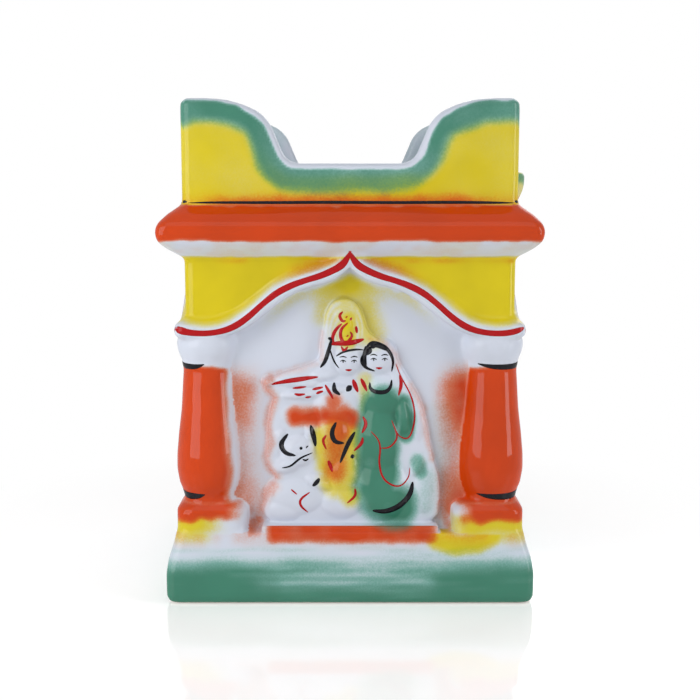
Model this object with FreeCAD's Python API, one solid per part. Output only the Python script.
import FreeCAD, Part
import math
import os

# Storeys, from the ground up
plinth_height = 36.0
storey_height = 139.0
cornice_height = 26.7
parapet_height = 51.3

# Half width of the square shaft at the frieze, and how far the rest stands out from it
frieze_half = 82.75
plinth_projection = 10.85
shoulder_projection = 4.25
moulding_projection = 5.05
cornice_projection = 12.45
parapet_projection = 0.5
niche_depth = 6.0

# Thickness of the clay, and how round the upright corners are
body_wall = 6.0
cornice_wall = 8.0
parapet_wall = 8.0
floor_thickness = 8.0
corner_radius = 5.0
inner_corner_radius = 3.0
drain_radius = 6.0

# Flats that stand for the curve of a round corner, a turned piece and a figure
corner_flats = 4
turned_flats = 28
relief_flats = 7

# Plinth outline: share of the slope from shoulder to foot, share of the height
plinth_outline_shares = [
    (0.50, 0.0), (0.86, 0.03), (1.0, 0.10), (1.0, 0.43), (0.84, 0.62), (0.44, 0.85), (0.26, 1.0),
]

# Cornice outline: share of its projection, share of its height
cornice_outline_shares = [
    (0.04, 0.01), (0.60, 0.18), (0.91, 0.31), (1.0, 0.44), (1.0, 0.54), (0.90, 0.66), (0.56, 0.82),
]
cornice_hollow_shares = [(0.85, 0.26), (1.0, 0.47), (0.72, 0.76)]

# Parapet: a wide scoop with S-shaped sides in each of its four walls, and a level top at the corners
scoop_floor_half = 25.0
scoop_depth = 31.3
scoop_foot_radius = 9.0
scoop_shoulder_radius = 18.0
corner_top_width = 14.0
scoop_steep_angle = 67.0
scoop_turn_angle = 27.0
rim_bevel = 2.4

# Corner columns: how deep the axis stands in the wall, how far the base stands out, the turned outline
column_sunk = 4.5
column_base_projection = 5.8
column_base_half = 18.1
column_base_height = 15.0
column_base_corner = 8.0
column_base_bevel = 3.5
column_radius = 17.1
capital_radius = 16.0
column_outline_shares = [
    (0.78, 0.0), (0.79, 0.035), (0.93, 0.105), (0.995, 0.19), (0.985, 0.28), (0.925, 0.405), (0.83, 0.555),
    (0.745, 0.80),
]
capital_outline_shares = [(0.84, 0.86), (0.95, 0.905), (1.0, 0.96), (0.94, 1.0)]

# Ogee arch: the centre line of its moulding, from the level foot up to the pointed crown. The radii
# are shares of the spread, which is the half width squared over the rise
frieze_height = 35.7
arch_crown_overlap = 3.3
arch_corner_width = 15.8
arch_foot_radius_share = 0.2817
arch_shoulder_radius_share = 0.39
arch_tip_radius_share = 0.1685
arch_shoulder_angle = 11.0
arch_tip_angle = 65.0
moulding_width = 8.0
moulding_bevel = 1.8
moulding_cove = 3.0

# Figures in low relief: gap beside the column bases, headroom above the group, and its depth
relief_side_gap = 7.4
relief_headroom = 19.0
relief_depth = 9.5
pedestal_height = 3.5
pedestal_depth = 11.4
pedestal_round = 1.6

# Each figure from its foot up: share of the height, then shares of half width for the
# middle and for the half width of the section, then share of the depth
player_body_shares = [
    (0.0, -0.16, 0.29, 0.8), (0.126, -0.16, 0.28, 0.9), (0.284, -0.17, 0.24, 0.85),
    (0.421, -0.2, 0.25, 0.9), (0.547, -0.22, 0.3, 0.85), (0.632, -0.1, 0.2, 0.6), (0.674, -0.04, 0.08, 0.4),
]
player_head_shares = [
    (0.637, -0.02, 0.09, 0.45), (0.663, -0.02, 0.16, 0.85), (0.716, -0.02, 0.2, 1.0), (0.768, -0.02, 0.16, 0.85),
    (0.789, -0.02, 0.08, 0.45),
]
player_crown_shares = [
    (0.758, -0.03, 0.15, 0.6), (0.821, -0.04, 0.13, 0.6), (0.884, -0.05, 0.08, 0.5), (0.947, -0.05, 0.03, 0.3),
]
player_halo_shares = [
    (0.705, -0.06, 0.27, 0.25), (0.789, -0.06, 0.28, 0.3), (0.895, -0.06, 0.22, 0.3), (0.968, -0.06, 0.14, 0.25),
    (1.0, -0.06, 0.05, 0.15),
]
player_arm_shares = [
    (-0.94, 0.616, 0.05, 0.3), (-0.88, 0.611, 0.09, 0.55), (-0.65, 0.589, 0.16, 0.65), (-0.4, 0.589, 0.17, 0.75),
    (-0.1, 0.6, 0.1, 0.5),
]
companion_gown_shares = [
    (0.0, 0.44, 0.36, 0.95), (0.126, 0.43, 0.33, 1.0), (0.295, 0.42, 0.29, 0.9), (0.442, 0.42, 0.28, 1.0),
    (0.558, 0.41, 0.27, 0.85), (0.632, 0.37, 0.16, 0.6), (0.663, 0.35, 0.08, 0.45),
]
companion_head_shares = [
    (0.647, 0.34, 0.09, 0.45), (0.674, 0.34, 0.17, 0.85), (0.732, 0.34, 0.21, 1.0), (0.789, 0.34, 0.17, 0.85),
    (0.816, 0.34, 0.08, 0.45),
]
companion_veil_shares = [
    (0.0, 0.7, 0.26, 0.4), (0.158, 0.69, 0.28, 0.5), (0.347, 0.64, 0.27, 0.5), (0.526, 0.56, 0.26, 0.5),
    (0.684, 0.42, 0.24, 0.5), (0.789, 0.36, 0.2, 0.45), (0.832, 0.34, 0.1, 0.25),
]
calf_body_shares = [
    (0.0, -0.62, 0.36, 0.75), (0.105, -0.62, 0.37, 0.8), (0.211, -0.6, 0.33, 0.75), (0.295, -0.58, 0.26, 0.6),
]
calf_head_shares = [
    (0.189, -0.6, 0.12, 0.5), (0.242, -0.6, 0.22, 0.85), (0.326, -0.58, 0.24, 0.95), (0.389, -0.58, 0.2, 0.8),
    (0.432, -0.6, 0.08, 0.4),
]

# Half-round lamp cup on one side of the parapet
cup_reach = 14.8
cup_rim = 16.8
cup_depth = 11.0
cup_wall = 3.0
cup_outer_shares = [(0.62, -0.75), (0.72, 0.0), (0.86, 0.22), (0.98, 0.50), (1.0, 0.86), (0.93, 1.0)]
cup_bowl_shares = [(0.45, 1.0), (0.80, 0.70), (0.96, 0.35), (1.0, 0.0)]

# Cutting overrun past the faces of a piece
overrun = 20.0

plinth_top = plinth_height
storey_top = plinth_top + storey_height
cornice_top = storey_top + cornice_height
parapet_top = cornice_top + parapet_height
wall_half = frieze_half - niche_depth
wall_inner = wall_half - body_wall
plinth_half = frieze_half + plinth_projection
shoulder_half = frieze_half + shoulder_projection
moulding_half = frieze_half + moulding_projection
cornice_half = frieze_half + cornice_projection
parapet_half = frieze_half + parapet_projection
parapet_inner = parapet_half - parapet_wall
relief_half = frieze_half + column_base_projection - 2 * column_base_half - relief_side_gap
relief_foot = plinth_top + pedestal_height
relief_height = storey_top - relief_headroom - relief_foot
moulding_centre = storey_top - frieze_height
arch_foot_half = moulding_half - arch_corner_width
column_top = moulding_centre - moulding_width / 2
outer_half = cornice_half + overrun

vec = FreeCAD.Vector
up = vec(0, 0, 1)


def rounded_square(half, corner, height, centre=0.0):
    """A closed square with round corners, lying level."""
    straight = half - corner
    bulge = straight + corner * math.cos(math.pi / 4)
    middle = vec(centre, centre, height)
    edges = []
    for quarter in range(4):
        turn = FreeCAD.Rotation(up, 90 * quarter)
        side = [vec(half, -straight, 0), vec(half, straight, 0)]
        arc = [vec(half, straight, 0), vec(bulge, bulge, 0), vec(straight, half, 0)]
        side = [middle + turn.multVec(p) for p in side]
        arc = [middle + turn.multVec(p) for p in arc]
        edges.append(Part.LineSegment(side[0], side[1]).toShape())
        edges.append(Part.Arc(arc[0], arc[1], arc[2]).toShape())
    return Part.Wire(edges)


def upright_block(half, corner, bottom, top, centre=0.0):
    outline = rounded_square(half, corner, bottom, centre)
    return Part.Face(outline).extrude(vec(0, 0, top - bottom))


def flat_face(points):
    return Part.Face(Part.makePolygon(points + [points[0]]))


def skinned_form(rows):
    """A solid with flat faces between level rows of points, lowest first, and a cap at each end."""
    faces = [flat_face(rows[0]), flat_face(rows[-1])]
    for low, high in zip(rows, rows[1:]):
        for a, b, c, d in zip(low, low[1:] + low[:1], high[1:] + high[:1], high):
            faces.append(flat_face([a, b, c, d]))
    return solid_inside(faces)


def solid_inside(faces):
    solid = Part.Solid(Part.Shell(faces))
    if solid.Volume < 0:
        solid.reverse()
    return solid


def stacked_form(outline, corner, centre=0.0):
    """A solid that follows an outline of half widths and heights round the square plan."""
    rows = []
    for half, height in outline:
        row = []
        for quarter in range(4):
            turn = FreeCAD.Rotation(up, 90 * quarter)
            for step in range(corner_flats + 1):
                angle = math.pi / 2 * step / corner_flats
                x = half - corner + corner * math.cos(angle)
                y = half - corner + corner * math.sin(angle)
                row.append(vec(centre, centre, height) + turn.multVec(vec(x, y, 0)))
        rows.append(row)
    return skinned_form(rows)


def turned_form(outline, x, y):
    """A solid turned about an upright axis, from an outline of radii and heights."""
    angles = [2 * math.pi * step / turned_flats for step in range(turned_flats)]
    rows = []
    for radius, height in outline:
        rows.append([vec(x + radius * math.cos(a), y + radius * math.sin(a), height) for a in angles])
    return skinned_form(rows)


def make_plinth():
    spread = plinth_half - shoulder_half
    outline = [(shoulder_half + a * spread, b * plinth_height) for a, b in plinth_outline_shares]
    solid = stacked_form(outline, corner_radius)
    return solid.cut(upright_block(wall_inner, inner_corner_radius, -overrun, plinth_top + overrun))


def make_floor():
    slab = upright_block(wall_inner, inner_corner_radius, 0, floor_thickness)
    return slab.cut(Part.makeCylinder(drain_radius, floor_thickness))


def make_body_walls():
    tube = upright_block(wall_half, inner_corner_radius, plinth_top, storey_top)
    return tube.cut(upright_block(wall_inner, inner_corner_radius, 0, parapet_top))


def make_column():
    """The column at the back right corner."""
    foot = plinth_top + column_base_height
    tall = column_top - foot
    outline = [(a * column_radius, foot + b * tall) for a, b in column_outline_shares]
    outline += [(a * capital_radius, foot + b * tall) for a, b in capital_outline_shares]
    axis = wall_half - column_sunk
    turned = turned_form(outline, axis, axis)
    block = [(column_base_half, plinth_top), (column_base_half, foot - column_base_bevel)]
    block.append((column_base_half - column_base_bevel, foot))
    base = stacked_form(block, column_base_corner, frieze_half + column_base_projection - column_base_half)
    return base.fuse(turned).cut(upright_block(wall_half, inner_corner_radius, 0, parapet_top))


def bend(start, first, last, radius):
    """An arc that turns from one heading to another, in degrees, with its end point."""
    sense = 1 if last > first else -1
    begin = math.radians(first)
    points = []
    for heading in ((first + last) / 2, last):
        angle = math.radians(heading)
        step = vec(math.sin(angle) - math.sin(begin), 0, math.cos(begin) - math.cos(angle))
        points.append(start + step * radius * sense)
    return Part.Arc(start, points[0], points[1]).toShape(), points[1]


def straight(start, heading, length):
    angle = math.radians(heading)
    end = start + vec(math.cos(angle), 0, math.sin(angle)) * length
    return Part.LineSegment(start, end).toShape(), end


def chain(points):
    return [Part.LineSegment(a, b).toShape() for a, b in zip(points, points[1:])]


def ogee_line(offset):
    """The arch line moved square to itself, on the left of the middle, with both ends run on."""
    rise = frieze_height + arch_crown_overlap
    spread = arch_foot_half ** 2 / rise
    foot_radius = arch_foot_radius_share * spread
    shoulder_radius = arch_shoulder_radius_share * spread
    tip_radius = arch_tip_radius_share * spread
    shoulder, tip = math.radians(arch_shoulder_angle), math.radians(arch_tip_angle)
    across = arch_foot_half - tip_radius * (math.sin(tip) - math.sin(shoulder)) + shoulder_radius * math.sin(shoulder)
    above = rise - tip_radius * (math.cos(shoulder) - math.cos(tip)) - shoulder_radius * math.cos(shoulder)
    above -= foot_radius
    reach = foot_radius + shoulder_radius
    steep_run = math.sqrt(across ** 2 + above ** 2 - reach ** 2)
    steep_angle = math.degrees(math.atan2(above, across) + math.atan2(reach, steep_run))
    begin = vec(-outer_half, 0, moulding_centre + offset)
    edges = []
    edge, at = straight(begin, 0, outer_half - arch_foot_half)
    edges.append(edge)
    edge, at = bend(at, 0, steep_angle, foot_radius - offset)
    edges.append(edge)
    edge, at = straight(at, steep_angle, steep_run)
    edges.append(edge)
    edge, at = bend(at, steep_angle, arch_shoulder_angle, shoulder_radius + offset)
    edges.append(edge)
    edge, at = bend(at, arch_shoulder_angle, arch_tip_angle, tip_radius - offset)
    edges.append(edge)
    edge, at = straight(at, arch_tip_angle, overrun)
    edges.append(edge)
    return edges, begin, at


def spandrel_face():
    """The frieze above the arch line, run on past the middle and the corner."""
    edges, begin, end = ogee_line(-moulding_width / 2)
    edges += chain([end, vec(end.x, 0, parapet_top), vec(begin.x, 0, parapet_top), begin])
    return Part.Face(Part.Wire(edges))


def moulding_face():
    low, low_begin, low_end = ogee_line(-moulding_width / 2)
    high, high_begin, high_end = ogee_line(moulding_width / 2)
    edges = low + high + chain([low_begin, high_begin]) + chain([low_end, high_end])
    return Part.Face(Part.Wire(Part.__sortEdges__(edges)))


def lies_on_skin(edge, half, corner):
    """True for an edge that runs along the outside of a round-cornered block, not straight up it."""
    box = edge.BoundBox
    if max(box.XLength, box.YLength) < moulding_bevel / 2:
        return False
    middle = edge.valueAt((edge.FirstParameter + edge.LastParameter) / 2)
    for point in [v.Point for v in edge.Vertexes] + [middle]:
        past = [max(abs(p) - half + corner, 0) for p in (point.x, point.y)]
        if abs(math.hypot(past[0], past[1]) - corner) > corner / 1000:
            return False
    return True


def left_of_middle(shape):
    tall = 2 * parapet_top
    keep = Part.makeBox(outer_half, 2 * outer_half, tall, vec(-outer_half, -outer_half, 0))
    return shape.common(keep)


def make_arch_panel(cornice_form):
    """The front frieze with the moulding of its ogee arch."""
    spandrel = spandrel_face().extrude(vec(0, -outer_half, 0))
    spandrel = spandrel.common(upright_block(frieze_half, corner_radius, 0, parapet_top))
    moulding = moulding_face().extrude(vec(0, -outer_half, 0))
    moulding = moulding.common(upright_block(moulding_half, corner_radius, 0, parapet_top))
    half = spandrel.fuse(moulding).removeSplitter()
    front = [e for e in half.Edges if lies_on_skin(e, moulding_half, corner_radius)]
    half = half.makeChamfer(moulding_bevel, front)
    inner = [e for e in half.Edges if lies_on_skin(e, frieze_half, corner_radius)]
    inner = [e for e in inner if e.BoundBox.ZMax < parapet_top and not is_upright(e)]
    half = half.makeChamfer(moulding_cove, inner)
    half = left_of_middle(half)
    panel = half.fuse(half.mirror(vec(0, 0, 0), vec(1, 0, 0)))
    panel = panel.cut(upright_block(wall_half, inner_corner_radius, 0, parapet_top))
    panel = panel.cut(upright_block(frieze_half, corner_radius, storey_top, parapet_top))
    panel = panel.cut(cornice_form)
    corners = [vec(0, 0, 0), vec(-outer_half, -outer_half, 0), vec(outer_half, -outer_half, 0), vec(0, 0, 0)]
    wedge = Part.Face(Part.makePolygon(corners)).extrude(vec(0, 0, parapet_top))
    return panel.common(wedge).removeSplitter()


def make_cornice_form():
    spread = cornice_half - frieze_half
    outline = [(frieze_half, storey_top)]
    outline += [(frieze_half + a * spread, storey_top + b * cornice_height) for a, b in cornice_outline_shares]
    outline.append((parapet_half, cornice_top))
    return stacked_form(outline, corner_radius)


def make_cornice(form):
    spread = cornice_half - cornice_wall - wall_inner
    outline = [(wall_inner, storey_top)]
    outline += [(wall_inner + a * spread, storey_top + b * cornice_height) for a, b in cornice_hollow_shares]
    outline.append((parapet_inner, cornice_top))
    return form.cut(stacked_form(outline, inner_corner_radius))


def scoop_side():
    """The right side of the scoop, from its level floor up to the level top of the horn."""
    steep, turn = math.radians(scoop_steep_angle), math.radians(scoop_turn_angle)
    edge, at = bend(vec(scoop_floor_half, 0, parapet_top - scoop_depth), 0, scoop_steep_angle, scoop_foot_radius)
    edges = [edge]
    rise = parapet_top - at.z - scoop_shoulder_radius * (math.cos(turn) - math.cos(steep))
    run = parapet_half - corner_top_width - at.x - scoop_shoulder_radius * (math.sin(steep) - math.sin(turn))
    horn_radius = (run * math.tan(steep) - rise) / (math.sin(turn) * math.tan(steep) - 1 + math.cos(turn))
    steep_run = (run - horn_radius * math.sin(turn)) / math.cos(steep)
    edge, at = straight(at, scoop_steep_angle, steep_run)
    edges.append(edge)
    edge, at = bend(at, scoop_steep_angle, scoop_turn_angle, scoop_shoulder_radius)
    edges.append(edge)
    edge, at = bend(at, scoop_turn_angle, 0, horn_radius)
    edges.append(edge)
    return edges, at


def parapet_wall_face():
    """One wall of the parapet seen from outside, with the scoop in its top edge."""
    side, end = scoop_side()
    floor = vec(scoop_floor_half, 0, parapet_top - scoop_depth)
    ends = [vec(end.x, 0, parapet_top), vec(parapet_half, 0, parapet_top), vec(parapet_half, 0, cornice_top)]
    ends += [vec(-p.x, 0, p.z) for p in reversed(ends)]
    edges = side + [e.mirror(vec(0, 0, 0), vec(1, 0, 0)) for e in side]
    edges += chain([vec(-floor.x, 0, floor.z), floor]) + chain(ends)
    return Part.Face(Part.Wire(Part.__sortEdges__(edges)))


def make_parapet():
    face = parapet_wall_face()
    face.translate(vec(0, -parapet_half, 0))
    wall = face.extrude(vec(0, parapet_wall + inner_corner_radius, 0))
    walls = list(around_sides(wall).values())
    ring = walls[0].fuse(walls[1:])
    ring = ring.common(upright_block(parapet_half, corner_radius, 0, parapet_top + overrun))
    ring = ring.cut(upright_block(parapet_inner, inner_corner_radius, 0, parapet_top + overrun)).removeSplitter()
    crest = [e for e in ring.Edges if e.BoundBox.ZMin > cornice_top + rim_bevel and not is_upright(e)]
    crest = [e for e in crest if not crosses_wall(e)]
    return ring.makeChamfer(rim_bevel, crest)


def is_upright(edge):
    box = edge.BoundBox
    return max(box.XLength, box.YLength) < rim_bevel and box.ZLength > rim_bevel


def crosses_wall(edge):
    """True for an edge that runs through the thickness of the wall on the crest."""
    ends = [v.Point for v in edge.Vertexes]
    reach = [max(abs(p.x), abs(p.y)) for p in ends]
    return max(reach) - min(reach) > parapet_wall / 2


def make_lamp_cup(cornice_form):
    rim = cornice_top + cup_rim
    bowl_radius = cup_reach - cup_wall
    outside = [(a * cup_reach, cornice_top + b * cup_rim) for a, b in cup_outer_shares]
    bowl = [(a * bowl_radius, rim - b * cup_depth) for a, b in cup_bowl_shares]
    cup = turned_form(outside, parapet_half, 0).cut(turned_form(bowl, parapet_half, 0))
    cup = cup.cut(upright_block(parapet_half, corner_radius, 0, parapet_top))
    return cup.cut(cornice_form)


def relief_form(stations, lying=False):
    """A soft swelling on the front wall, from sections that bulge forward from its face."""
    rows = []
    for along, middle, half, depth in stations:
        if lying:
            centre = vec(along * relief_half, -wall_half, relief_foot + middle * relief_height)
            side = vec(0, 0, half * relief_half)
        else:
            centre = vec(middle * relief_half, -wall_half, relief_foot + along * relief_height)
            side = vec(half * relief_half, 0, 0)
        front = vec(0, -depth * relief_depth, 0)
        angles = [math.pi * step / relief_flats for step in range(relief_flats + 1)]
        rows.append([centre - side * math.cos(angle) + front * math.sin(angle) for angle in angles])
    faces = [flat_face(rows[0]), flat_face(rows[-1])]
    left = [row[0] for row in rows]
    right = [row[-1] for row in rows]
    faces.append(flat_face(left + right[::-1]))
    for low, high in zip(rows, rows[1:]):
        for step in range(relief_flats):
            faces.append(flat_face([low[step], low[step + 1], high[step + 1]]))
            faces.append(flat_face([low[step], high[step + 1], high[step]]))
    return solid_inside(faces)


def make_pedestal():
    corner = vec(-relief_half, -wall_half - pedestal_depth, plinth_top)
    slab = Part.makeBox(2 * relief_half, pedestal_depth, pedestal_height, corner)
    front = [e for e in slab.Edges if e.BoundBox.YMax < -wall_half - pedestal_depth / 2]
    front = [e for e in front if e.BoundBox.ZMax > plinth_top + pedestal_height / 2]
    return slab.makeFillet(pedestal_round, front)


def make_flute_player():
    forms = [relief_form(table) for table in (player_body_shares, player_head_shares, player_crown_shares)]
    forms.append(relief_form(player_halo_shares))
    forms.append(relief_form(player_arm_shares, lying=True))
    return forms[0].fuse(forms[1:])


def make_companion(player):
    forms = [relief_form(table) for table in (companion_gown_shares, companion_head_shares, companion_veil_shares)]
    return forms[0].fuse(forms[1:]).cut(player)


def make_calf(player):
    return relief_form(calf_body_shares).fuse(relief_form(calf_head_shares)).cut(player)


def save(name, shape):
    solids = shape.Solids
    whole = solids[0] if len(solids) == 1 else Part.makeCompound(solids)
    whole.exportStep("parts/" + name + ".step")
    print(name, "solids", len(solids), "valid", whole.isValid(), "volume", round(whole.Volume))


def around_corners(shape):
    """Copies of the back right piece at all four corners."""
    turns = {"back_right": 0, "back_left": 90, "front_left": 180, "front_right": 270}
    pieces = {}
    for place, angle in turns.items():
        turned = shape.copy()
        turned.rotate(vec(0, 0, 0), up, angle)
        pieces[place] = turned
    return pieces


def around_sides(shape):
    """Copies of the front piece on all four sides."""
    turns = {"front": 0, "right": 90, "back": 180, "left": 270}
    pieces = {}
    for place, angle in turns.items():
        turned = shape.copy()
        turned.rotate(vec(0, 0, 0), up, angle)
        pieces[place] = turned
    return pieces


def main():
    os.makedirs("parts", exist_ok=True)
    cornice_form = make_cornice_form()
    save("plinth", make_plinth())
    save("floor", make_floor())
    save("body_walls", make_body_walls())
    for place, piece in around_corners(make_column()).items():
        save("column_" + place, piece)
    for place, piece in around_sides(make_arch_panel(cornice_form)).items():
        save("arch_panel_" + place, piece)
    save("cornice", make_cornice(cornice_form))
    save("parapet", make_parapet())
    save("lamp_cup", make_lamp_cup(cornice_form))
    player = make_flute_player()
    save("figure_pedestal", make_pedestal())
    save("flute_player", player)
    save("companion", make_companion(player))
    save("calf", make_calf(player))


main()
